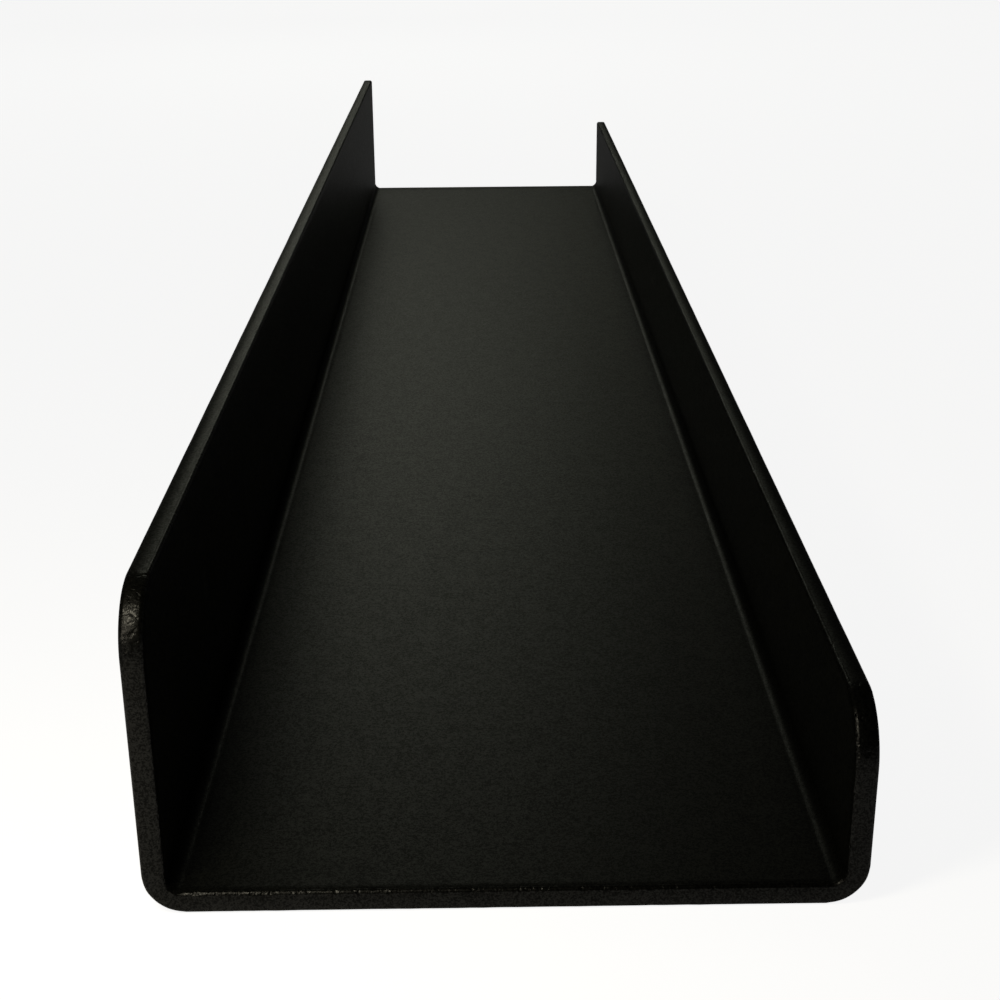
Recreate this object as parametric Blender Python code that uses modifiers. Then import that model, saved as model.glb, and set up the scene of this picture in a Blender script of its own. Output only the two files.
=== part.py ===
"""Open sluice trough in welded plate.

A floor plate stands between a tall and a short side plate. Along each long
corner an outside weld fills the groove between the plates and is dressed to a
round, and a small fillet weld runs inside. The trough lies along Y, its near
end at -Y, with the tall side at -X, the short side at +X and the underside at
z = 0. Metres, +Z up.
"""

import math

import bmesh
import bpy
from mathutils import Matrix

# Overall sizes
LENGTH = 0.915
WIDTH = 0.180
TALL_SIDE_HEIGHT = 0.086
SHORT_SIDE_HEIGHT = 0.054

# Plate stock
FLOOR_THICKNESS = 0.006
SIDE_THICKNESS = 0.006

# Rounded corners and edges
NEAR_CORNER_RADIUS = 0.0165
LONG_CORNER_RADIUS = 0.0105
EDGE_RADIUS = 0.0012

# Welds
FILLET_LEG = 0.003
FILLET_TOE = 0.0004
JOINT_GAP = 0.0003

# Smoothness of round stretches
CORNER_STEPS = 14
FILLET_STEPS = 6
EDGE_STEPS = 3

SMOOTH_ANGLE = math.radians(35)
FLAT_ANGLE = math.radians(0.1)

# How far a cutter runs past what it cuts, and how near two points are one
OVERCUT = 0.010
TOUCH = 1e-6

# The side of the trough a piece stands on, as the sign of its x
TALL, SHORT = -1, 1

# Turns that lay an outline's thickness along Y, or along X with the outline
# seen from the short side
ALONG_Y = (math.radians(90), 0.0, 0.0)
ALONG_X = (math.radians(90), 0.0, math.radians(90))

COATING = dict(colour=(0.012, 0.012, 0.010, 1.0), roughness=0.55, metallic=0.0)


def clear_scene():
    """Remove every object and every collection left from before."""
    for item in list(bpy.data.objects):
        bpy.data.objects.remove(item, do_unlink=True)
    for group in list(bpy.data.collections):
        bpy.data.collections.remove(group)


def make_collection(name):
    """A new collection under the scene's own."""
    group = bpy.data.collections.new(name)
    bpy.context.scene.collection.children.link(group)
    return group


def make_material(name, colour, roughness, metallic):
    """A Principled material with one plain finish."""
    material = bpy.data.materials.new(name)
    material.use_nodes = True
    shader = material.node_tree.nodes["Principled BSDF"]
    shader.inputs["Base Color"].default_value = colour
    shader.inputs["Roughness"].default_value = roughness
    shader.inputs["Metallic"].default_value = metallic
    return material


def arc(centre, radius, start, end, steps):
    """Points along a circle's arc, both ends included, angles in degrees."""
    points = []
    for step in range(steps + 1):
        angle = math.radians(start + (end - start) * step / steps)
        across = centre[0] + radius * math.cos(angle)
        up = centre[1] + radius * math.sin(angle)
        points.append((across, up))
    return points


def outline_solid(name, points, thickness, turn, place, group):
    """A flat closed outline given a thickness, as a mesh object.

    The outline is drawn across local X and Y and grows along local Z, half
    the thickness each way.
    """
    curve = bpy.data.curves.new(name, "CURVE")
    curve.dimensions = "2D"
    curve.fill_mode = "BOTH"
    curve.extrude = thickness / 2
    spline = curve.splines.new("POLY")
    spline.points.add(len(points) - 1)
    for point, (across, up) in zip(spline.points, points):
        point.co = (across, up, 0.0, 1.0)
    spline.use_cyclic_u = True

    drawn = bpy.data.objects.new(name + "_outline", curve)
    drawn.rotation_euler = turn
    drawn.location = place
    group.objects.link(drawn)
    bpy.context.view_layer.update()

    shape = drawn.evaluated_get(bpy.context.evaluated_depsgraph_get())
    mesh = bpy.data.meshes.new_from_object(shape)
    mesh.name = name
    solid = bpy.data.objects.new(name, mesh)
    solid.matrix_world = drawn.matrix_world.copy()
    bpy.data.objects.remove(drawn, do_unlink=True)
    bpy.data.curves.remove(curve)

    work = bmesh.new()
    work.from_mesh(mesh)
    bmesh.ops.remove_doubles(work, verts=work.verts, dist=TOUCH)
    bmesh.ops.dissolve_limit(work, angle_limit=FLAT_ANGLE, verts=work.verts, edges=work.edges)
    bmesh.ops.recalc_face_normals(work, faces=work.faces)
    work.to_mesh(mesh)
    work.free()
    group.objects.link(solid)
    return solid


def box_solid(name, low, high, group):
    """A block between two corners, with its size in its mesh."""
    size = [top - bottom for bottom, top in zip(low, high)]
    middle = [(top + bottom) / 2 for bottom, top in zip(low, high)]
    mesh = bpy.data.meshes.new(name)
    work = bmesh.new()
    bmesh.ops.create_cube(work, size=1.0, matrix=Matrix.Diagonal((*size, 1.0)))
    work.to_mesh(mesh)
    work.free()
    solid = bpy.data.objects.new(name, mesh)
    solid.location = middle
    group.objects.link(solid)
    return solid


def round_edges(solid, chosen):
    """Round the sharp edges whose two ends, in world space, pass the test."""
    world = solid.matrix_world
    work = bmesh.new()
    work.from_mesh(solid.data)
    weight = work.edges.layers.float.new("bevel_weight_edge")
    for edge in work.edges:
        ends = [world @ vertex.co for vertex in edge.verts]
        is_sharp = edge.calc_face_angle() > SMOOTH_ANGLE
        edge[weight] = 1.0 if is_sharp and chosen(*ends) else 0.0
    work.to_mesh(solid.data)
    work.free()
    bevel = solid.modifiers.new("rounded_edges", "BEVEL")
    bevel.limit_method = "WEIGHT"
    bevel.width = EDGE_RADIUS
    bevel.segments = EDGE_STEPS
    bevel.use_clamp_overlap = True


def cut(solid, cutter):
    """Take the cutter's shape out of a solid."""
    boolean = solid.modifiers.new("cut_" + cutter.name, "BOOLEAN")
    boolean.operation = "DIFFERENCE"
    boolean.solver = "EXACT"
    boolean.object = cutter


def dressing_cutter(side, group):
    """What grinding takes off one long bottom corner to leave it round."""
    radius = LONG_CORNER_RADIUS
    points = arc((0.0, 0.0), radius, 180, 270, CORNER_STEPS)
    points.append((0.0, -radius - OVERCUT))
    points.append((-radius - OVERCUT, -radius - OVERCUT))
    points.append((-radius - OVERCUT, 0.0))
    outline = [(across * -side, up) for across, up in points]
    name = "tall_side_dressing" if side == TALL else "short_side_dressing"
    place = (side * (WIDTH / 2 - radius), 0.0, radius)
    cutter = outline_solid(name, outline, LENGTH + 2 * OVERCUT, ALONG_Y, place, group)
    cutter.hide_render = True
    cutter.display_type = "WIRE"
    return cutter


def floor_plate(group, cutters):
    """The flat bed, which ends where the side plates' inner faces stand."""
    half = WIDTH / 2 - SIDE_THICKNESS - JOINT_GAP
    low = (-half, -LENGTH / 2, 0.0)
    high = (half, LENGTH / 2, FLOOR_THICKNESS)
    plate = box_solid("floor_plate", low, high, group)
    bpy.context.view_layer.update()

    def at_an_end(start, end):
        return abs(start.y - end.y) < TOUCH and abs(start.z - end.z) < TOUCH

    round_edges(plate, at_an_end)
    for cutter in cutters:
        cut(plate, cutter)
    return plate


def side_plate(name, side, height, cutter, group):
    """A wall with its near top corner rounded, standing above the weld."""
    foot = FLOOR_THICKNESS + JOINT_GAP
    near, far = -LENGTH / 2, LENGTH / 2
    centre = (near + NEAR_CORNER_RADIUS, height - NEAR_CORNER_RADIUS)
    points = [(near, foot), (far, foot), (far, height)]
    points += arc(centre, NEAR_CORNER_RADIUS, 90, 180, CORNER_STEPS)
    place = (side * (WIDTH - SIDE_THICKNESS) / 2, 0.0, 0.0)
    plate = outline_solid(name, points, SIDE_THICKNESS, ALONG_X, place, group)

    def above_the_weld(start, end):
        return start.z > foot + TOUCH or end.z > foot + TOUCH

    round_edges(plate, above_the_weld)
    cut(plate, cutter)
    return plate


def corner_weld(name, side, group):
    """The outside groove between a side plate and the floor, filled and dressed.

    Its round lies on the same circle as the dressed plates beside it, and a
    circle smaller than a plate leaves a flat up to the joint.
    """
    radius = LONG_CORNER_RADIUS
    start = 180 + math.degrees(math.asin(max(0.0, 1 - FLOOR_THICKNESS / radius)))
    end = 270 - math.degrees(math.asin(max(0.0, 1 - SIDE_THICKNESS / radius)))
    section = [(SIDE_THICKNESS, FLOOR_THICKNESS)]
    if radius < FLOOR_THICKNESS:
        section.append((0.0, FLOOR_THICKNESS))
    section += arc((radius, radius), radius, start, end, CORNER_STEPS)
    if radius < SIDE_THICKNESS:
        section.append((SIDE_THICKNESS, 0.0))
    outline = [(across * -side, up) for across, up in section]
    place = (side * WIDTH / 2, 0.0, 0.0)
    weld = outline_solid(name, outline, LENGTH, ALONG_Y, place, group)

    def outside_at_an_end(start, end):
        crosses = abs(start.y - end.y) < TOUCH
        on_the_top = min(start.z, end.z) > FLOOR_THICKNESS - TOUCH
        on_the_side = max(abs(start.x), abs(end.x)) < WIDTH / 2 - SIDE_THICKNESS + TOUCH
        return crosses and not on_the_top and not on_the_side

    round_edges(weld, outside_at_an_end)
    return weld


def fillet_weld(name, side, group):
    """The hollow-faced bead in the inside corner."""
    sweep = FILLET_LEG - FILLET_TOE
    bead = [(0.0, 0.0), (0.0, FILLET_LEG)]
    bead += arc((FILLET_LEG, FILLET_LEG), sweep, 180, 270, FILLET_STEPS)
    bead += [(FILLET_LEG, 0.0)]
    outline = [(across * -side, up) for across, up in bead]
    inner_face = side * (WIDTH / 2 - SIDE_THICKNESS - JOINT_GAP)
    place = (inner_face, 0.0, FLOOR_THICKNESS + JOINT_GAP)
    length = LENGTH - 2 * EDGE_RADIUS
    return outline_solid(name, outline, length, ALONG_Y, place, group)


def build():
    """Make the trough's plates and welds in their collection."""
    clear_scene()
    trough = make_collection("sluice_box")
    tools = make_collection("cutters")

    tall_dressing = dressing_cutter(TALL, tools)
    short_dressing = dressing_cutter(SHORT, tools)
    pieces = [
        floor_plate(trough, (tall_dressing, short_dressing)),
        side_plate("tall_side_plate", TALL, TALL_SIDE_HEIGHT, tall_dressing, trough),
        side_plate("short_side_plate", SHORT, SHORT_SIDE_HEIGHT, short_dressing, trough),
        corner_weld("tall_side_corner_weld", TALL, trough),
        corner_weld("short_side_corner_weld", SHORT, trough),
        fillet_weld("tall_side_fillet_weld", TALL, trough),
        fillet_weld("short_side_fillet_weld", SHORT, trough),
    ]
    for piece in pieces:
        piece.data.materials.clear()
        piece.data.materials.append(make_material(piece.name + "_coating", **COATING))
        piece.data.shade_smooth()
        piece.data.set_sharp_from_angle(angle=SMOOTH_ANGLE)
    bpy.context.view_layer.update()


build()
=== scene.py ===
"""A bare, open-ended sluice trough in thick plate under one black textured coat.

The trough is shaped once as a whole form, with its dressed corners, coves and
rounded arrises, and the form is then cut at the joints into the floor plate,
the two side plates and their welds, so that the coat runs on from one piece
to the next. Lengths are in metres, with Z up and the near end towards -Y.
"""

import logging
import math
from dataclasses import dataclass, field
from enum import Enum
from typing import Callable, ClassVar

import bmesh
import bpy
from mathutils import Matrix, Vector


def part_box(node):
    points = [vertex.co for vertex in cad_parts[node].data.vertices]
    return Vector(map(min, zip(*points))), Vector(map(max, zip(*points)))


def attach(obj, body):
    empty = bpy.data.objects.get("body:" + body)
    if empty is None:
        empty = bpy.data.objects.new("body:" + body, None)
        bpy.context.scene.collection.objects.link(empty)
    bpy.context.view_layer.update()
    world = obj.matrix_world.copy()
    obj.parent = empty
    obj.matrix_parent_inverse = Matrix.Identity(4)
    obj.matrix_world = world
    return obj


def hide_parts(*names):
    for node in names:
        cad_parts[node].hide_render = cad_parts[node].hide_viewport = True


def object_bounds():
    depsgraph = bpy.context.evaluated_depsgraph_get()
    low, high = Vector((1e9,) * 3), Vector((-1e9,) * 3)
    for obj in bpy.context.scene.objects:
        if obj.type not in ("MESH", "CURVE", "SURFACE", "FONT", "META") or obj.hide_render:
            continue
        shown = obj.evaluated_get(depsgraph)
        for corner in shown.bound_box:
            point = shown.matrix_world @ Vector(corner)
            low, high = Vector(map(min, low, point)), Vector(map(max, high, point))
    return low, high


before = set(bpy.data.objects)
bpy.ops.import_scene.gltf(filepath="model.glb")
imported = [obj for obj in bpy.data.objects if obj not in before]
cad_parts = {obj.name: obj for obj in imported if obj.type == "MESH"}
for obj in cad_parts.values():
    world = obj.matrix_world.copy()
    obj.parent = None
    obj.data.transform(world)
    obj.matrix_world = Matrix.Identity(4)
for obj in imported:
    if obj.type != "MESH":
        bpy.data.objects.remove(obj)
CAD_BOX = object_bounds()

log = logging.getLogger("sluice_trough")

MM = 0.001
TOUCH = 1e-6
Colour = tuple[float, float, float]
Place = tuple[float, float, float]


class Side(Enum):
    """The side of the trough a piece stands on, as the sign of its x."""

    TALL = -1
    SHORT = 1


class Slot(Enum):
    """The material slots that the pieces take."""

    PLATE = "coated_plate"
    WELD = "coated_weld"


# ---------------------------------------------------------------- hand tools


def take_up(thing: bpy.types.Object) -> None:
    """Deselect everything, then select one object and make it active."""
    if bpy.context.mode != "OBJECT":
        bpy.ops.object.mode_set(mode="OBJECT")
    bpy.ops.object.select_all(action="DESELECT")
    thing.select_set(True)
    bpy.context.view_layer.objects.active = thing


def pick_edges(thing: bpy.types.Object, test: Callable[[Vector, Vector], bool]) -> None:
    """Select, in edit mode, the edges whose two ends pass the test.

    Args:
        thing: the object in edit mode.
        test: takes the places of an edge's two ends.
    """
    bpy.ops.mesh.select_mode(type="EDGE")
    bpy.ops.mesh.select_all(action="DESELECT")
    work = bmesh.from_edit_mesh(thing.data)
    for edge in work.edges:
        start, end = (vertex.co for vertex in edge.verts)
        edge.select_set(test(start, end))
    work.select_flush_mode()
    bmesh.update_edit_mesh(thing.data)


def pick_faces(thing: bpy.types.Object, test: Callable[[Vector, Vector], bool]) -> None:
    """Select, in edit mode, the faces whose centre and normal pass the test.

    Args:
        thing: the object in edit mode.
        test: takes a face's centre and its normal.
    """
    bpy.ops.mesh.select_mode(type="FACE")
    bpy.ops.mesh.select_all(action="DESELECT")
    work = bmesh.from_edit_mesh(thing.data)
    for face in work.faces:
        face.select_set(test(face.calc_center_median(), face.normal))
    work.select_flush_mode()
    bmesh.update_edit_mesh(thing.data)


def slice_at(place: Vector, normal: Vector, keep: str = "both") -> None:
    """Bisect the mesh in edit mode along a plane.

    Args:
        place: a point on the plane.
        normal: the plane's normal.
        keep: "both" leaves all of the mesh with an edge loop on the plane;
            "behind" keeps the part behind the plane and closes the cut.
    """
    bpy.ops.mesh.select_all(action="SELECT")
    away = keep == "behind"
    bpy.ops.mesh.bisect(plane_co=place, plane_no=normal, use_fill=away, clear_outer=away, threshold=TOUCH)


def apply_modifiers(thing: bpy.types.Object) -> None:
    """Apply every modifier in order."""
    take_up(thing)
    for name in [modifier.name for modifier in thing.modifiers]:
        bpy.ops.object.modifier_apply(modifier=name)


# ---------------------------------------------------------------- the whole form


@dataclass
class TroughForm:
    """The whole trough as one closed shape, before it is cut into its pieces."""

    low: Vector
    high: Vector
    tall_height: float
    short_height: float
    floor_thickness: float
    side_thickness: float

    near_corner_radius: float = 16.5 * MM
    long_corner_radius: float = 10.5 * MM
    cove_radius: float = 4.0 * MM
    arris_radius: float = 1.2 * MM

    near_corner_steps: int = 20
    long_corner_steps: int = 16
    cove_steps: int = 10
    arris_steps: int = 4

    station_gap: float = 3.0 * MM
    end_zone: float = 24.0 * MM
    far_station_gap: float = 15.0 * MM
    smooth_angle: float = math.radians(32)

    SHARP: ClassVar[float] = math.radians(40)
    FLAT: ClassVar[float] = math.radians(0.1)
    ROUNDED: ClassVar[int] = 1
    WHOLE_SHARE: ClassVar[float] = 0.99
    ARRIS: ClassVar[str] = "arris"
    DRESSED: ClassVar[str] = "dressed"
    COVE: ClassVar[str] = "cove"
    UNEVEN: ClassVar[tuple[tuple[str, float, float], ...]] = (
        (ARRIS, 0.14 * MM, 4.0 * MM),
        (DRESSED, 0.16 * MM, 7.0 * MM),
        (COVE, 0.20 * MM, 12.0 * MM),
    )

    @property
    def inner_x(self) -> float:
        """How far from the middle the inner wall faces stand."""
        return self.high.x - self.side_thickness

    def wall_height(self, side: Side) -> float:
        """The height of the wall on one side."""
        return self.tall_height if side is Side.TALL else self.short_height

    def build(self) -> bpy.types.Object:
        """Shape the whole trough.

        Returns:
            The closed form, smooth shaded, with its groups as attributes.
        """
        form = self._slab()
        bpy.ops.object.mode_set(mode="EDIT")
        self._raise_walls(form)
        self._round_near_corners(form)
        self._round_long_corners(form)
        self._hollow_coves(form)
        self._round_arrises(form)
        self._add_stations()
        bpy.ops.object.mode_set(mode="OBJECT")
        bpy.ops.object.vertex_group_clean(group_select_mode="ALL", limit=self.WHOLE_SHARE)
        self._make_uneven(form)
        self._write_masks(form)
        take_up(form)
        bpy.ops.object.shade_smooth_by_angle(angle=self.smooth_angle)
        return form

    def _slab(self) -> bpy.types.Object:
        """The floor's slab, as wide and as long as the trough."""
        size = self.high - self.low
        middle = (self.low + self.high) / 2
        bpy.ops.object.select_all(action="DESELECT")
        bpy.ops.mesh.primitive_cube_add(size=1.0, location=(middle.x, middle.y, self.floor_thickness / 2))
        slab = bpy.context.object
        slab.name = "trough_form"
        slab.scale = (size.x, size.y, self.floor_thickness)
        bpy.ops.object.transform_apply(location=True, rotation=True, scale=True)
        for name in (self.ARRIS, self.DRESSED, self.COVE):
            slab.vertex_groups.new(name=name)
        return slab

    def _raise_walls(self, form: bpy.types.Object) -> None:
        """Mark a strip along each side of the slab and draw it up into a wall.

        Args:
            form: the slab, in edit mode.
        """
        for side in Side:
            slice_at(Vector((side.value * self.inner_x, 0.0, 0.0)), Vector((1.0, 0.0, 0.0)))
        for side in Side:
            rise = self.wall_height(side) - self.floor_thickness

            def top_strip(centre: Vector, normal: Vector, side: Side = side) -> bool:
                return normal.z > 0.5 and centre.x * side.value > self.inner_x

            pick_faces(form, top_strip)
            bpy.ops.mesh.extrude_region_move(TRANSFORM_OT_translate={"value": (0.0, 0.0, rise)})
        bpy.ops.mesh.select_all(action="SELECT")
        bpy.ops.mesh.dissolve_limited(angle_limit=self.FLAT)

    def _bevel(self, form: bpy.types.Object, radius: float, steps: int, group: str) -> None:
        """Round the picked edges and put the round's inner rows in a group.

        Args:
            form: the form, in edit mode with the edges picked.
            radius: the round's radius.
            steps: how many strips the round has.
            group: the vertex group that takes the rows.
        """
        while len(form.data.materials) <= self.ROUNDED:
            form.data.materials.append(None)
        bpy.ops.mesh.bevel(
            offset=radius,
            offset_type="OFFSET",
            segments=steps,
            profile=0.5,
            affect="EDGES",
            clamp_overlap=False,
            material=self.ROUNDED,
        )
        bpy.ops.mesh.select_mode(type="VERT")
        bpy.ops.mesh.select_all(action="DESELECT")
        work = bmesh.from_edit_mesh(form.data)
        for vertex in work.verts:
            rounded = sum(face.material_index == self.ROUNDED for face in vertex.link_faces)
            needed = len(vertex.link_faces) if group == self.ARRIS else 2
            vertex.select_set(rounded >= needed)
        for face in work.faces:
            face.material_index = 0
        bmesh.update_edit_mesh(form.data)
        form.vertex_groups.active = form.vertex_groups[group]
        bpy.ops.object.vertex_group_assign()

    def _round_near_corners(self, form: bpy.types.Object) -> None:
        """Round the top corner of each wall at the near end."""
        for side in Side:
            top = self.wall_height(side)

            def across_the_top(start: Vector, end: Vector, side: Side = side, top: float = top) -> bool:
                at_the_end = max(start.y, end.y) < self.low.y + TOUCH
                return at_the_end and min(start.z, end.z) > top - TOUCH and start.x * side.value > 0

            pick_edges(form, across_the_top)
            self._bevel(form, self.near_corner_radius, self.near_corner_steps, self.DRESSED)

    def _round_long_corners(self, form: bpy.types.Object) -> None:
        """Dress the long outer corners under the walls to a round."""

        def outer_foot(start: Vector, end: Vector) -> bool:
            outside = min(abs(start.x), abs(end.x)) > self.high.x - TOUCH
            return outside and max(start.z, end.z) < TOUCH and abs(start.y - end.y) > TOUCH

        pick_edges(form, outer_foot)
        self._bevel(form, self.long_corner_radius, self.long_corner_steps, self.DRESSED)

    def _hollow_coves(self, form: bpy.types.Object) -> None:
        """Fill the long inner corners with a hollow-faced fillet."""

        def inner_foot(start: Vector, end: Vector) -> bool:
            at_the_wall = all(abs(abs(place.x) - self.inner_x) < TOUCH for place in (start, end))
            on_the_floor = all(abs(place.z - self.floor_thickness) < TOUCH for place in (start, end))
            return at_the_wall and on_the_floor and abs(start.y - end.y) > TOUCH

        pick_edges(form, inner_foot)
        self._bevel(form, self.cove_radius, self.cove_steps, self.COVE)

    def _round_arrises(self, form: bpy.types.Object) -> None:
        """Round every edge that is still sharp."""
        bpy.ops.mesh.select_mode(type="EDGE")
        bpy.ops.mesh.select_all(action="DESELECT")
        work = bmesh.from_edit_mesh(form.data)
        for edge in work.edges:
            edge.select_set(edge.calc_face_angle(0.0) > self.SHARP)
        bmesh.update_edit_mesh(form.data)
        self._bevel(form, self.arris_radius, self.arris_steps, self.ARRIS)

    def _add_stations(self) -> None:
        """Divide the long faces, so that the worked stretches can be made uneven."""
        across = Vector((1.0, 0.0, 0.0))
        along = Vector((0.0, 1.0, 0.0))
        upward = Vector((0.0, 0.0, 1.0))
        for place in self._spread(self.low.x, self.high.x, self.station_gap):
            slice_at(Vector((place, 0.0, 0.0)), across)
        for place in self._spread(self.long_corner_radius, self.high.z, self.station_gap):
            slice_at(Vector((0.0, 0.0, place)), upward)
        lengths = self._spread(self.low.y, self.low.y + self.end_zone, self.station_gap)
        lengths += self._spread(self.low.y + self.end_zone, self.high.y, self.far_station_gap)
        for place in lengths:
            slice_at(Vector((0.0, place, 0.0)), along)

    @staticmethod
    def _spread(start: float, end: float, gap: float) -> list[float]:
        """Places between two ends, at about one gap from each other."""
        count = max(1, round((end - start) / gap))
        return [start + (end - start) * step / count for step in range(1, count)]

    def _make_uneven(self, form: bpy.types.Object) -> None:
        """Work the rounded stretches slightly inwards from true.

        Args:
            form: the form, in object mode with its groups filled.
        """
        for group, depth, grain in self.UNEVEN:
            lumps = bpy.data.textures.new(group + "_lumps", "CLOUDS")
            lumps.noise_scale = grain
            lumps.noise_depth = 2
            uneven = form.modifiers.new(group + "_uneven", "DISPLACE")
            uneven.texture = lumps
            uneven.texture_coords = "LOCAL"
            uneven.vertex_group = group
            uneven.strength = depth
            uneven.mid_level = 1.0
        apply_modifiers(form)

    def _write_masks(self, form: bpy.types.Object) -> None:
        """Write each vertex group as an attribute that the finishes read.

        Args:
            form: the form, in object mode with its groups filled.
        """
        for group in (self.ARRIS, self.DRESSED, self.COVE):
            index = form.vertex_groups[group].index
            mask = form.data.attributes.new(group + "_mask", "FLOAT", "POINT")
            for vertex in form.data.vertices:
                weights = [entry.weight for entry in vertex.groups if entry.group == index]
                mask.data[vertex.index].value = weights[0] if weights else 0.0


# ---------------------------------------------------------------- the pieces


@dataclass
class Piece:
    """One piece of the trough, cut from the whole form at its joints."""

    node: str
    slot: Slot
    form: TroughForm
    SLIVER: ClassVar[float] = 0.01 * MM

    def build(self, whole: bpy.types.Object) -> bpy.types.Object:
        """Cut the piece from a copy of the whole form.

        Args:
            whole: the whole form, which is left as it is.

        Returns:
            The finished piece, which stands for its CAD node.
        """
        piece = whole.copy()
        piece.data = whole.data.copy()
        piece.name = self.node + "_coated"
        piece.data.name = piece.name
        bpy.context.scene.collection.objects.link(piece)
        take_up(piece)
        bpy.ops.object.mode_set(mode="EDIT")
        for place, normal in self.cuts():
            slice_at(place, normal, keep="behind")
        bpy.ops.object.mode_set(mode="OBJECT")
        piece.vertex_groups.clear()
        self._take_shading(piece, whole)
        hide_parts(self.node)
        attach(piece, "root")
        return piece

    def cuts(self) -> list[tuple[Vector, Vector]]:
        """The planes that bound the piece, each with its normal outwards."""
        raise NotImplementedError

    def wall_joint(self, side: Side, away: int) -> tuple[Vector, Vector]:
        """The joint plane along a wall's inner face.

        Args:
            side: the wall's side.
            away: 1 for a normal out to the wall, -1 for one in to the middle.

        Returns:
            A point on the plane and its normal.
        """
        place = Vector((side.value * (self.form.inner_x - self.SLIVER), 0.0, 0.0))
        return place, Vector((side.value * away, 0.0, 0.0))

    def floor_joint(self, away: int) -> tuple[Vector, Vector]:
        """The joint plane along the floor's top.

        Args:
            away: 1 for a normal upwards, -1 for one downwards.

        Returns:
            A point on the plane and its normal.
        """
        place = Vector((0.0, 0.0, self.form.floor_thickness + self.SLIVER))
        return place, Vector((0.0, 0.0, away))

    @staticmethod
    def _take_shading(piece: bpy.types.Object, whole: bpy.types.Object) -> None:
        """Give the piece the whole form's normals, so no joint line shows.

        Args:
            piece: the piece, cut from the form.
            whole: the whole form, still with its own normals.
        """
        shading = piece.modifiers.new("whole_shading", "DATA_TRANSFER")
        shading.object = whole
        shading.use_loop_data = True
        shading.data_types_loops = {"CUSTOM_NORMAL"}
        shading.loop_mapping = "POLYINTERP_NEAREST"
        apply_modifiers(piece)


@dataclass
class FloorPlate(Piece):
    """The flat bed between the walls."""

    def cuts(self) -> list[tuple[Vector, Vector]]:
        """Out to both walls and up to the top of the floor."""
        return [self.wall_joint(Side.TALL, 1), self.wall_joint(Side.SHORT, 1), self.floor_joint(1)]


@dataclass
class SidePlate(Piece):
    """A wall above the floor's top."""

    side: Side = Side.TALL

    def cuts(self) -> list[tuple[Vector, Vector]]:
        """In to the wall's inner face and down to the floor's top."""
        return [self.wall_joint(self.side, -1), self.floor_joint(-1)]


@dataclass
class CornerWeld(Piece):
    """The dressed weld under a wall."""

    side: Side = Side.TALL

    def cuts(self) -> list[tuple[Vector, Vector]]:
        """In to the wall's inner face and up to the floor's top."""
        return [self.wall_joint(self.side, -1), self.floor_joint(1)]


@dataclass
class FilletWeld(Piece):
    """The hollow bead in an inner corner."""

    side: Side = Side.TALL

    def cuts(self) -> list[tuple[Vector, Vector]]:
        """Out to the wall, down to the floor, and away from the other side."""
        middle = (Vector((0.0, 0.0, 0.0)), Vector((-self.side.value, 0.0, 0.0)))
        return [self.wall_joint(self.side, 1), self.floor_joint(-1), middle]


# ---------------------------------------------------------------- shader groups


class GroupMaker:
    """Lays out one shader node group from its sockets and nodes."""

    def __init__(self, name: str, inputs: dict[str, float], outputs: tuple[str, ...]) -> None:
        """Open a group with number sockets.

        Args:
            name: the group's name.
            inputs: each input's name and usual value.
            outputs: each output's name.
        """
        self.tree = bpy.data.node_groups.new(name, "ShaderNodeTree")
        for label, value in inputs.items():
            socket = self.tree.interface.new_socket(label, in_out="INPUT", socket_type="NodeSocketFloat")
            socket.default_value = value
        for label in outputs:
            self.tree.interface.new_socket(label, in_out="OUTPUT", socket_type="NodeSocketFloat")
        self.inside = self.tree.nodes.new("NodeGroupInput")
        self.result = self.tree.nodes.new("NodeGroupOutput")
        self.place = self.add("ShaderNodeTexCoord").outputs["Object"]

    def add(self, kind: str, **settings: object) -> bpy.types.Node:
        """A new node with its settings.

        Args:
            kind: the node's type.
            settings: a value for each property that is set.

        Returns:
            The node.
        """
        node = self.tree.nodes.new(kind)
        for key, value in settings.items():
            setattr(node, key, value)
        return node

    def feed(self, socket: bpy.types.NodeSocket, source: object) -> None:
        """Link a socket to a source, or set it to a number.

        Args:
            socket: the input that is fed.
            source: a socket or a number.
        """
        if isinstance(source, bpy.types.NodeSocket):
            self.tree.links.new(source, socket)
        else:
            socket.default_value = source

    def maths(self, operation: str, *terms: object) -> bpy.types.NodeSocket:
        """The result of a Math node.

        Args:
            operation: the node's operation.
            terms: the numbers or sockets it works on, in order.

        Returns:
            The socket with the result.
        """
        node = self.add("ShaderNodeMath", operation=operation)
        for socket, term in zip(node.inputs, terms):
            self.feed(socket, term)
        return node.outputs["Value"]

    def span(
        self, value: object, low: object, high: object, to_low: float = 0.0, to_high: float = 1.0
    ) -> bpy.types.NodeSocket:
        """A value's place between two ends, eased, as a new range.

        Args:
            value: the number or socket to place.
            low: where the range starts.
            high: where the range ends.
            to_low: the result at the start.
            to_high: the result at the end.

        Returns:
            The socket with the result.
        """
        node = self.add("ShaderNodeMapRange", interpolation_type="SMOOTHSTEP")
        for label, term in (
            ("Value", value),
            ("From Min", low),
            ("From Max", high),
            ("To Min", to_low),
            ("To Max", to_high),
        ):
            self.feed(node.inputs[label], term)
        return node.outputs["Result"]

    def noise(self, scale: object, detail: float = 2.0, roughness: float = 0.5) -> bpy.types.NodeSocket:
        """A noise pattern on Object coordinates, from 0 to 1.

        Args:
            scale: how many lumps there are in a metre.
            detail: how many finer layers the noise has.
            roughness: how strong the finer layers are.

        Returns:
            The socket with the pattern.
        """
        node = self.add("ShaderNodeTexNoise", noise_dimensions="3D")
        self.feed(node.inputs["Vector"], self.place)
        self.feed(node.inputs["Scale"], scale)
        self.feed(node.inputs["Detail"], detail)
        self.feed(node.inputs["Roughness"], roughness)
        return node.outputs["Fac"]


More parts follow.
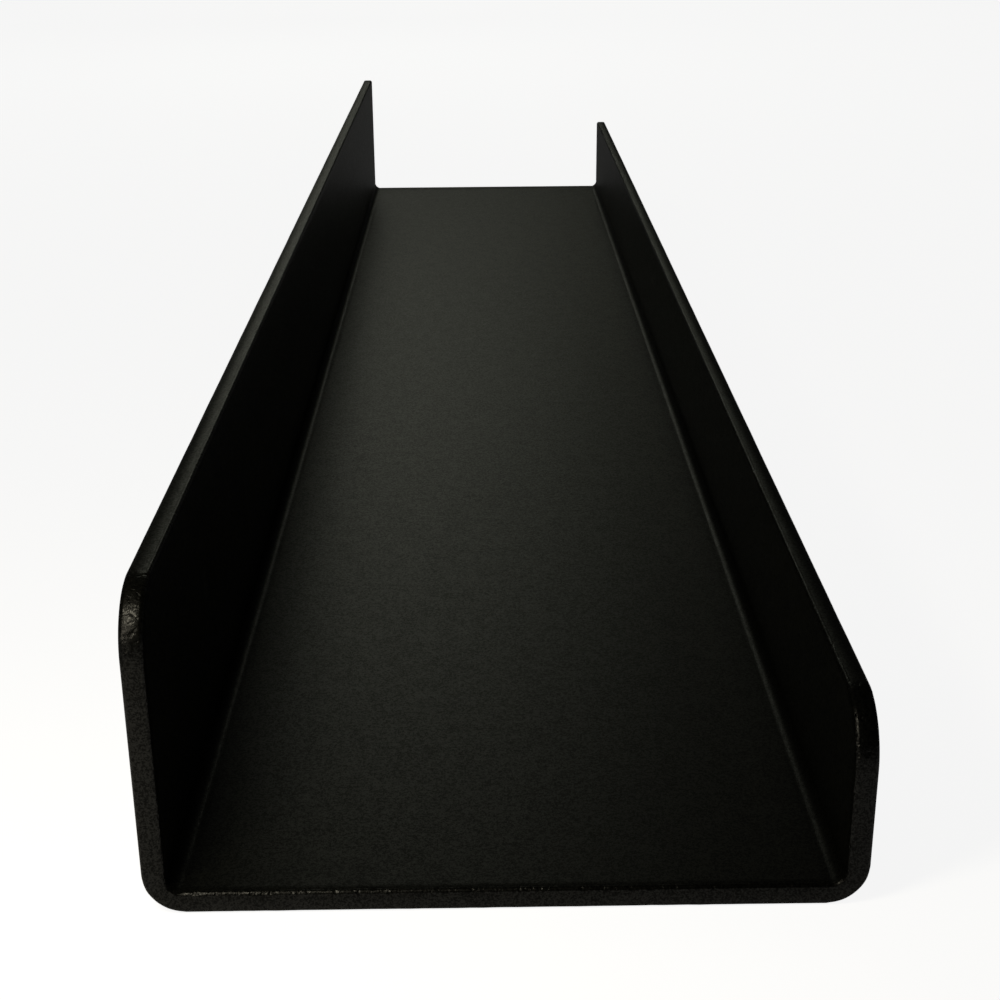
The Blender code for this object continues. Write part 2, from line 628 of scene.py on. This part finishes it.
# Each layer of the speckle: its scale against the grain's, its detail and its share
SPECKLE_LAYERS = ((0.83, 1.0, 0.52), (0.38, 1.0, 0.38), (0.055, 2.0, 0.10))
SPECKLE_RANGE = (0.39, 0.61)

# The pits: their scale against the grain's, where their edge lies in the noise,
# how soft it is, and how far a pit dips against the grain's own height
PIT_SCALE = 0.55
PIT_EDGE = 0.28
PIT_SOFTNESS = 0.05
PIT_DIP = 0.4


def coat_grain_group() -> bpy.types.NodeTree:
    """The coat's fine grain, its pits and the drift of its tone.

    Returns:
        A group that puts out the grain's height, a speckle of lighter and
        darker grains, and a mask of the pits.
    """
    make = GroupMaker("coat_grain", {"Grain Size": 0.5, "Pit Share": -0.03}, ("Height", "Speckle", "Pits"))
    per_metre = make.maths("DIVIDE", 1.0 / MM, make.inside.outputs["Grain Size"])
    grains = make.noise(per_metre, detail=1.0, roughness=0.6)
    blend = 0.0
    for scale, detail, share in SPECKLE_LAYERS:
        layer = make.noise(make.maths("MULTIPLY", per_metre, scale), detail=detail)
        blend = make.maths("MULTIPLY_ADD", layer, share, blend)
    speckle = make.span(blend, *SPECKLE_RANGE)
    hollows = make.noise(make.maths("MULTIPLY", per_metre, PIT_SCALE), detail=1.0)
    edge = make.maths("ADD", PIT_EDGE, make.inside.outputs["Pit Share"])
    pits = make.span(hollows, make.maths("SUBTRACT", edge, PIT_SOFTNESS), edge, 1.0, 0.0)
    dipped = make.maths("SUBTRACT", grains, make.maths("MULTIPLY", pits, PIT_DIP))
    make.feed(make.result.inputs["Height"], dipped)
    make.feed(make.result.inputs["Speckle"], speckle)
    make.feed(make.result.inputs["Pits"], pits)
    return make.tree


# The wrinkles: the middle of the noise, and how much the ridges there rise
NOISE_MIDDLE = 0.5
RIDGE_SHARE = -1.2


def coat_lumps_group() -> bpy.types.NodeTree:
    """Coarser wrinkles where the coat lies thick over dressed metal.

    Returns:
        A group that puts out the wrinkles' height, scaled by an amount.
    """
    make = GroupMaker("coat_lumps", {"Lump Size": 1.4, "Amount": 1.0}, ("Height",))
    per_metre = make.maths("DIVIDE", 1.0 / MM, make.inside.outputs["Lump Size"])
    lumps = make.noise(per_metre, detail=1.5, roughness=0.5)
    ridged = make.maths("ABSOLUTE", make.maths("SUBTRACT", lumps, NOISE_MIDDLE))
    height = make.maths("MULTIPLY_ADD", ridged, RIDGE_SHARE, lumps)
    make.feed(make.result.inputs["Height"], make.maths("MULTIPLY", height, make.inside.outputs["Amount"]))
    return make.tree


# A mark's edge: the noise's lumps in a metre, how ragged it leaves the edge, and
# the reach over which the mark fades
MARK_LUMPS = 900.0
MARK_RAGGEDNESS = 1.8
MARK_EDGE = (0.9, 1.7)


def coat_mark_group() -> bpy.types.NodeTree:
    """One small spot, broken up at its edge.

    Returns:
        A group that puts out the spot's mask from its place and its reach
        across, along and up, all in millimetres.
    """
    middles = {"Across": 0.0, "Along": 0.0, "Up": 0.0}
    reaches = {"Reach Across": 1.0, "Reach Along": 1.0, "Reach Up": 1.0}
    make = GroupMaker("coat_mark", middles | reaches, ("Mask",))
    parts = make.add("ShaderNodeSeparateXYZ")
    make.feed(parts.inputs["Vector"], make.place)
    squares = []
    for axis, label in (("X", "Across"), ("Y", "Along"), ("Z", "Up")):
        middle = make.maths("MULTIPLY", make.inside.outputs[label], -1.0)
        offset = make.maths("MULTIPLY_ADD", parts.outputs[axis], 1.0 / MM, middle)
        share = make.maths("DIVIDE", offset, make.inside.outputs["Reach " + label])
        squares.append(make.maths("MULTIPLY", share, share))
    spread = make.maths("ADD", make.maths("ADD", squares[0], squares[1]), squares[2])
    ragged = make.maths("MULTIPLY_ADD", make.noise(MARK_LUMPS, detail=2.0), MARK_RAGGEDNESS, spread)
    make.feed(make.result.inputs["Mask"], make.span(ragged, *MARK_EDGE, 1.0, 0.0))
    return make.tree


@dataclass(frozen=True)
class CoatGroups:
    """The shader groups that the coats share."""

    grain: bpy.types.NodeTree
    lumps: bpy.types.NodeTree
    mark: bpy.types.NodeTree

    @classmethod
    def build(cls) -> "CoatGroups":
        """Make each group once."""
        return cls(coat_grain_group(), coat_lumps_group(), coat_mark_group())


@dataclass(frozen=True)
class Mark:
    """A small spot on the coat: its middle and its reach, in millimetres."""

    middle: Place
    reach: Place


# Paler spots on the inner walls, laid into the coat's colour
PALE_SPOTS = (
    Mark((-84.0, -373.0, 51.0), (2.0, 4.5, 7.5)),
    Mark((84.0, 32.0, 37.0), (2.0, 9.0, 3.0)),
)
SPECKS = (
    Mark((-33.0, -364.5, 6.0), (1.2, 1.2, 2.0)),
    Mark((-21.5, -364.5, 6.0), (0.9, 1.1, 2.0)),
)


@dataclass(frozen=True)
class CoatFinish:
    """The black fine-textured baked coat."""

    name: str
    colour: Colour = (0.0026, 0.0027, 0.0019)
    light_colour: Colour = (0.0078, 0.0080, 0.0056)
    pit_colour: Colour = (0.0015, 0.0015, 0.0011)
    pale_spot_colour: Colour = (0.060, 0.060, 0.048)
    roughness: float = 0.43
    roughness_play: float = 0.03
    worn_roughness: float = 0.33
    low_sheen: float = 0.26
    high_sheen: float = 0.76
    # How far the coves' reflection is lowered: painted shade in the inner corners
    cove_painted_shade: float = 0.35
    grain_size: float = 0.36
    grain_depth: float = 0.028 * MM
    lump_size: float = 1.4
    lump_depth: float = 0.22 * MM

    def material(self, groups: CoatGroups) -> bpy.types.Material:
        """The finish as a node material.

        Args:
            groups: the shader groups that the coats share.

        Returns:
            A material for any piece that the coat covers.
        """
        material = bpy.data.materials.new(self.name)
        material.use_nodes = True
        tree = material.node_tree
        shader = tree.nodes["Principled BSDF"]

        fine = self._group(tree, groups.grain, {"Grain Size": self.grain_size})
        worked = self._math(tree, "MAXIMUM", self._mask(tree, "arris"), self._mask(tree, "dressed"))
        lumps = self._group(tree, groups.lumps, {"Lump Size": self.lump_size})
        tree.links.new(worked, lumps.inputs["Amount"])

        colour = self._mix(tree, fine.outputs["Speckle"], self.colour, self.light_colour)
        colour = self._mix(tree, fine.outputs["Pits"], colour, self.pit_colour)
        colour = self._mix(tree, self._marks(tree, groups.mark, PALE_SPOTS), colour, self.pale_spot_colour)
        colour = self._mix(tree, self._marks(tree, groups.mark, SPECKS), colour, self.pit_colour)
        tree.links.new(colour, shader.inputs["Base Color"])

        uneven = tree.nodes.new("ShaderNodeMapRange")
        uneven.inputs["To Min"].default_value = self.roughness + self.roughness_play
        uneven.inputs["To Max"].default_value = self.roughness - self.roughness_play
        tree.links.new(fine.outputs["Speckle"], uneven.inputs["Value"])
        smoother = self._math(tree, "MULTIPLY", worked, self.worn_roughness - self.roughness)
        roughness = self._math(tree, "ADD", uneven.outputs["Result"], smoother)
        tree.links.new(roughness, shader.inputs["Roughness"])

        sheen = tree.nodes.new("ShaderNodeMapRange")
        sheen.inputs["To Min"].default_value = self.low_sheen
        sheen.inputs["To Max"].default_value = self.high_sheen
        tree.links.new(fine.outputs["Speckle"], sheen.inputs["Value"])
        # Painted shade: the coat's reflection is lowered in the coves, darkening the inner corners where
        # the walls' shadow falls
        cove_shaded = self._math(tree, "MULTIPLY_ADD", self._mask(tree, "cove"), -self.cove_painted_shade, 1.0)
        gloss = self._math(tree, "MULTIPLY", sheen.outputs["Result"], cove_shaded)
        tree.links.new(gloss, shader.inputs["Specular IOR Level"])

        grained = self._bump(tree, fine.outputs["Height"], self.grain_depth, None)
        lumpy = self._bump(tree, lumps.outputs["Height"], self.lump_depth, grained)
        tree.links.new(lumpy, shader.inputs["Normal"])
        return material

    @staticmethod
    def _group(
        tree: bpy.types.NodeTree, group: bpy.types.NodeTree, values: dict[str, float]
    ) -> bpy.types.Node:
        """Place a shader group with its own values.

        Args:
            tree: the material's nodes.
            group: the shader group.
            values: a number for each input that is set.

        Returns:
            The group's node.
        """
        node = tree.nodes.new("ShaderNodeGroup")
        node.node_tree = group
        for label, value in values.items():
            node.inputs[label].default_value = value
        return node

    @staticmethod
    def _mask(tree: bpy.types.NodeTree, name: str) -> bpy.types.NodeSocket:
        """One of the form's masks, read from its attribute."""
        node = tree.nodes.new("ShaderNodeAttribute")
        node.attribute_name = name + "_mask"
        return node.outputs["Fac"]

    @staticmethod
    def _math(tree: bpy.types.NodeTree, operation: str, *terms: object) -> bpy.types.NodeSocket:
        """The result of a Math node in the material.

        Args:
            tree: the material's nodes.
            operation: the node's operation.
            terms: the numbers or sockets it works on, in order.

        Returns:
            The socket with the result.
        """
        node = tree.nodes.new("ShaderNodeMath")
        node.operation = operation
        for socket, term in zip(node.inputs, terms):
            if isinstance(term, bpy.types.NodeSocket):
                tree.links.new(term, socket)
            else:
                socket.default_value = term
        return node.outputs["Value"]

    @staticmethod
    def _mix(
        tree: bpy.types.NodeTree, share: bpy.types.NodeSocket, under: object, over: Colour
    ) -> bpy.types.NodeSocket:
        """One colour laid over another by a mask.

        Args:
            tree: the material's nodes.
            share: the mask, 1 where the upper colour shows.
            under: the lower colour, or the socket that holds it.
            over: the upper colour.

        Returns:
            The socket with the mixed colour.
        """
        node = tree.nodes.new("ShaderNodeMix")
        node.data_type = "RGBA"
        tree.links.new(share, node.inputs["Factor"])
        if isinstance(under, bpy.types.NodeSocket):
            tree.links.new(under, node.inputs["A"])
        else:
            node.inputs["A"].default_value = (*under, 1.0)
        node.inputs["B"].default_value = (*over, 1.0)
        return node.outputs["Result"]

    @staticmethod
    def _bump(
        tree: bpy.types.NodeTree,
        height: bpy.types.NodeSocket,
        depth: float,
        over: bpy.types.NodeSocket | None,
    ) -> bpy.types.NodeSocket:
        """A Bump node of a given depth, laid over another bump's normal.

        Args:
            tree: the material's nodes.
            height: the socket with the pattern.
            depth: how deep the full pattern is, in metres.
            over: the other bump's normal, or None for the first bump.

        Returns:
            The socket with the new normal.
        """
        node = tree.nodes.new("ShaderNodeBump")
        node.inputs["Distance"].default_value = depth
        tree.links.new(height, node.inputs["Height"])
        if over is not None:
            tree.links.new(over, node.inputs["Normal"])
        return node.outputs["Normal"]

    def _marks(
        self, tree: bpy.types.NodeTree, group: bpy.types.NodeTree, marks: tuple[Mark, ...]
    ) -> bpy.types.NodeSocket:
        """One mask over several marks.

        Args:
            tree: the material's nodes.
            group: the shader group of one mark.
            marks: the marks, of which there is at least one.

        Returns:
            The socket with the joint mask.
        """
        total = None
        for mark in marks:
            values = dict(zip(("Across", "Along", "Up"), mark.middle))
            values |= dict(zip(("Reach Across", "Reach Along", "Reach Up"), mark.reach))
            mask = self._group(tree, group, values).outputs["Mask"]
            total = mask if total is None else self._math(tree, "MAXIMUM", total, mask)
        return total


# ---------------------------------------------------------------- the studio


@dataclass(frozen=True)
class SoftBox:
    """A soft square light that faces a point."""

    name: str
    place: Place
    aim: Place
    breadth: float
    power: float
    colour: Colour

    def build(self) -> bpy.types.Object:
        """Hang the light."""
        lamp = bpy.data.lights.new(self.name, "AREA")
        lamp.shape = "SQUARE"
        lamp.size = self.breadth
        lamp.energy = self.power
        lamp.color = self.colour
        box = bpy.data.objects.new(self.name, lamp)
        bpy.context.scene.collection.objects.link(box)
        box.location = self.place
        facing = Vector(self.aim) - Vector(self.place)
        box.rotation_euler = facing.to_track_quat("-Z", "Y").to_euler()
        box.visible_camera = False
        return box


@dataclass
class Studio:
    """A pale floor, soft boxes, a dim room and the camera."""

    near_end: float
    width: float
    floor_size: float = 30.0
    floor_glow: float = 0.90
    floor_reflection: float = 0.06
    room_light: float = 0.006
    backdrop_light: float = 0.95
    floor_tone: float = 0.9
    floor_drop: float = 0.2 * MM
    boxes: list[SoftBox] = field(default_factory=list)

    camera_place: Place = (-0.0262, -1.9091, 1.3607)
    camera_pitch: float = math.radians(21.52)
    camera_yaw: float = math.radians(0.625)
    camera_roll: float = math.radians(0.435)
    lens: float = 59.35
    sensor: float = 36.0

    CLIP: ClassVar[tuple[float, float]] = (0.01, 100.0)

    def build(self) -> None:
        """Set up the floor, the lights, the room and the camera."""
        self._ground()
        for box in self.boxes:
            box.build()
        self._room()
        self._camera()
        bpy.context.scene.view_settings.view_transform = "Standard"

    def _ground(self) -> None:
        """The pale floor, which glows a little towards the camera."""
        bpy.ops.object.select_all(action="DESELECT")
        bpy.ops.mesh.primitive_plane_add(size=self.floor_size, location=(0.0, 0.0, -self.floor_drop))
        ground = bpy.context.object
        ground.name = "studio_floor"
        material = bpy.data.materials.new("pale_floor")
        material.use_nodes = True
        shader = material.node_tree.nodes["Principled BSDF"]
        shader.inputs["Base Color"].default_value = (*(self.floor_tone,) * 3, 1.0)
        shader.inputs["Roughness"].default_value = 1.0
        shader.inputs["Specular IOR Level"].default_value = 0.0
        shader.inputs["Emission Color"].default_value = (1.0, 1.0, 1.0, 1.0)
        path = material.node_tree.nodes.new("ShaderNodeLightPath")
        glow = material.node_tree.nodes.new("ShaderNodeMapRange")
        glow.inputs["To Min"].default_value = self.floor_reflection
        glow.inputs["To Max"].default_value = self.floor_glow
        material.node_tree.links.new(path.outputs["Is Camera Ray"], glow.inputs["Value"])
        material.node_tree.links.new(glow.outputs["Result"], shader.inputs["Emission Strength"])
        ground.data.materials.append(material)
        ground.visible_diffuse = False

    def _room(self) -> None:
        """A dim room that the camera sees as a pale backdrop."""
        world = bpy.data.worlds.new("studio_room")
        bpy.context.scene.world = world
        world.use_nodes = True
        tree = world.node_tree
        tree.nodes.clear()
        out = tree.nodes.new("ShaderNodeOutputWorld")
        dim = tree.nodes.new("ShaderNodeBackground")
        dim.inputs["Color"].default_value = (1.0, 1.0, 1.0, 1.0)
        dim.inputs["Strength"].default_value = self.room_light
        pale = tree.nodes.new("ShaderNodeBackground")
        pale.inputs["Color"].default_value = (1.0, 1.0, 1.0, 1.0)
        pale.inputs["Strength"].default_value = self.backdrop_light
        path = tree.nodes.new("ShaderNodeLightPath")
        mix = tree.nodes.new("ShaderNodeMixShader")
        tree.links.new(path.outputs["Is Camera Ray"], mix.inputs["Fac"])
        tree.links.new(dim.outputs["Background"], mix.inputs[1])
        tree.links.new(pale.outputs["Background"], mix.inputs[2])
        tree.links.new(mix.outputs["Shader"], out.inputs["Surface"])

    def _camera(self) -> None:
        """The camera over the near end, looking down the trough."""
        data = bpy.data.cameras.new("camera")
        data.lens = self.lens
        data.sensor_width = self.sensor
        data.clip_start, data.clip_end = self.CLIP
        camera = bpy.data.objects.new("camera", data)
        bpy.context.scene.collection.objects.link(camera)
        across, along, upward = (self.width * part for part in self.camera_place)
        turn = Matrix.Rotation(-self.camera_yaw, 4, "Z")
        turn @= Matrix.Rotation(math.pi / 2 - self.camera_pitch, 4, "X")
        turn @= Matrix.Rotation(-self.camera_roll, 4, "Z")
        camera.matrix_world = Matrix.Translation((across, self.near_end + along, upward)) @ turn
        bpy.context.scene.camera = camera


# ---------------------------------------------------------------- putting together


def trough_form() -> TroughForm:
    """The whole form with its sizes read from the CAD nodes."""
    low, high = (Vector(corner) for corner in CAD_BOX)
    floor_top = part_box("floor_plate")[1].z
    tall_low, tall_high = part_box("tall_side_plate")
    short_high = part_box("short_side_plate")[1]
    return TroughForm(
        low=low,
        high=high,
        tall_height=tall_high.z,
        short_height=short_high.z,
        floor_thickness=floor_top,
        side_thickness=tall_high.x - tall_low.x,
    )


def soft_boxes() -> list[SoftBox]:
    """The studio's lights: four behind the far end and two by the near left corner."""
    middle = (0.0, 0.0, 0.0)
    corner = (-0.09, -0.4575, 0.06)
    upper_corner = (-0.09, -0.4575, 0.07)
    return [
        SoftBox("far_middle_box", (-0.08, 2.60, 1.05), middle, 0.50, 0.400, (0.97, 1.0, 0.88)),
        SoftBox("far_right_box", (0.13, 2.60, 1.05), middle, 0.50, 0.195, (0.95, 1.0, 0.72)),
        SoftBox("far_left_box", (-0.22, 1.50, 0.75), middle, 0.35, 0.280, (0.98, 1.0, 0.80)),
        SoftBox("high_box", (-0.15, 0.90, 0.90), middle, 0.30, 0.030, (0.90, 1.0, 0.75)),
        SoftBox("near_left_low_box", (-0.20, -0.62, 0.16), corner, 0.08, 0.040, (1.0, 0.90, 0.72)),
        SoftBox("near_left_high_box", (-0.15, -0.58, 0.26), upper_corner, 0.08, 0.120, (1.0, 0.93, 0.72)),
    ]


def main() -> None:
    """Build the trough and its studio, and log each piece."""
    logging.basicConfig(level=logging.INFO, format="%(name)s: %(message)s")
    form = trough_form()
    whole = form.build()

    groups = CoatGroups.build()
    coats = {
        Slot.PLATE: CoatFinish("plate_coat").material(groups),
        Slot.WELD: CoatFinish("weld_coat").material(groups),
    }

    pieces = [
        FloorPlate("floor_plate", Slot.PLATE, form),
        SidePlate("tall_side_plate", Slot.PLATE, form, side=Side.TALL),
        SidePlate("short_side_plate", Slot.PLATE, form, side=Side.SHORT),
        CornerWeld("tall_side_corner_weld", Slot.WELD, form, side=Side.TALL),
        CornerWeld("short_side_corner_weld", Slot.WELD, form, side=Side.SHORT),
        FilletWeld("tall_side_fillet_weld", Slot.WELD, form, side=Side.TALL),
        FilletWeld("short_side_fillet_weld", Slot.WELD, form, side=Side.SHORT),
    ]
    for piece in pieces:
        made = piece.build(whole)
        made.data.materials.clear()
        made.data.materials.append(coats[piece.slot])
        log.info("%s: %d faces", made.name, len(made.data.polygons))
    bpy.data.objects.remove(whole, do_unlink=True)

    Studio(near_end=form.low.y, width=form.high.x - form.low.x, boxes=soft_boxes()).build()


if __name__ == "__main__":
    main()
